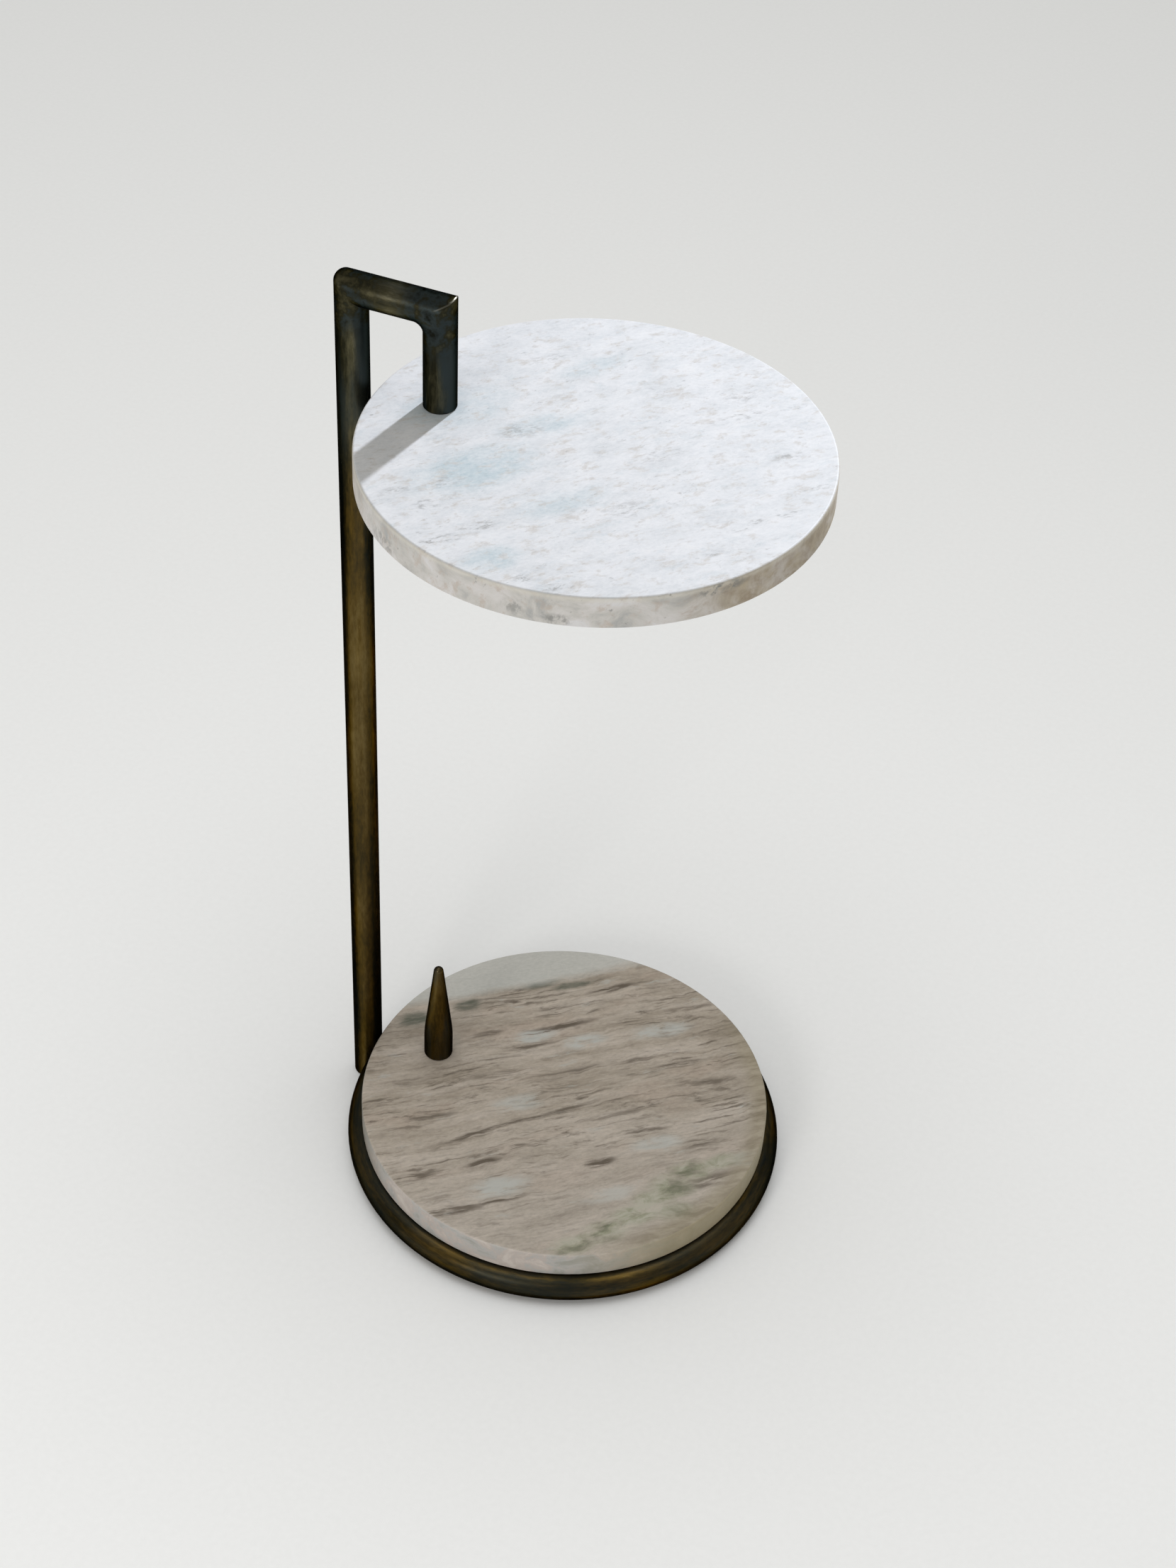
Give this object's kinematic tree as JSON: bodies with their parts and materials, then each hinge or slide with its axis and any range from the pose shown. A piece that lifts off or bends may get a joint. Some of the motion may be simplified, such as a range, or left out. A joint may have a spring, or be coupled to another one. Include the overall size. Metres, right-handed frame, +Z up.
{
  "type": "wine table",
  "caption": "Small drinks table: a round marble top hung from a bronze tube carrying handle, above a marble base on a tube ring, with a pointed cone under the handle.",
  "frame": {"origin": "on the floor, on the common axis of the ring and both slabs", "axes": "+Z up; the post, the handle and the cone lie in the XZ plane on the -X side; the table is mirror-symmetric about that plane"},
  "size_m": [0.3201, 0.3084, 0.6727],
  "materials": {
    "bronze_frame": "antique bronze patina on steel tube, satin, rubbed lighter on the handle and post",
    "white_marble": "honed white marble with faint grey clouds and short warm streaks",
    "steel_hardware": "zinc-plated steel",
    "soft_pad": "matt dark rubber"
  },
  "bodies": {
    "root": {"base_ring": "bronze_frame", "post": "bronze_frame", "post_foot_plate": "bronze_frame", "handle_bar": "bronze_frame", "drop_leg": "bronze_frame", "marble_top": "white_marble", "marble_base": "white_marble", "cone_finial": "bronze_frame", "leg_plug": "steel_hardware", "leg_gasket": "soft_pad", "plate_gasket": "soft_pad", "top_plate": "bronze_frame", "top_spring_washer": "steel_hardware", "top_bolt": "steel_hardware", "cone_stud": "steel_hardware", "base_washer": "steel_hardware", "base_nut": "steel_hardware", "slab_tabs": "bronze_frame", "slab_pads": "soft_pad", "floor_pads": "soft_pad"}
  },
  "joints": []
}
